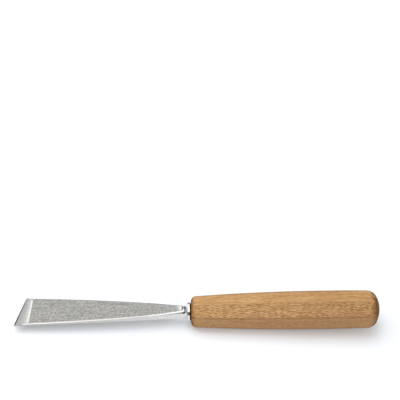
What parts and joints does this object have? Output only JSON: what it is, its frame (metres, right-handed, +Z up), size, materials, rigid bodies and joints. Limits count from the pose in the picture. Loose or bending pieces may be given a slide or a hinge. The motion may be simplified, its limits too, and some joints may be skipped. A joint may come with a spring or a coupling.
{
  "type": "skew carving chisel",
  "caption": "Skew carving chisel with a tapered flat steel blade, round bolster, hidden tang and ring ferrule in an octagonal beech handle with a domed butt.",
  "frame": {"origin": "on the bench, under the middle of the tool's length", "axes": "+X along the tool from the cutting edge to the butt, +Y across it from the long toe to the heel, +Z up out of the bench"},
  "size_m": [0.2652, 0.0276, 0.0316],
  "materials": {
    "blade_steel": "fine-ground satin face, polished sides, bevels and bolster",
    "ferrule_steel": "dark, blackened",
    "handle_wood": "satin lacquered steamed beech"
  },
  "bodies": {
    "root": {"blade": "blade_steel", "inner_ferrule": "ferrule_steel", "handle": "handle_wood"}
  },
  "joints": []
}
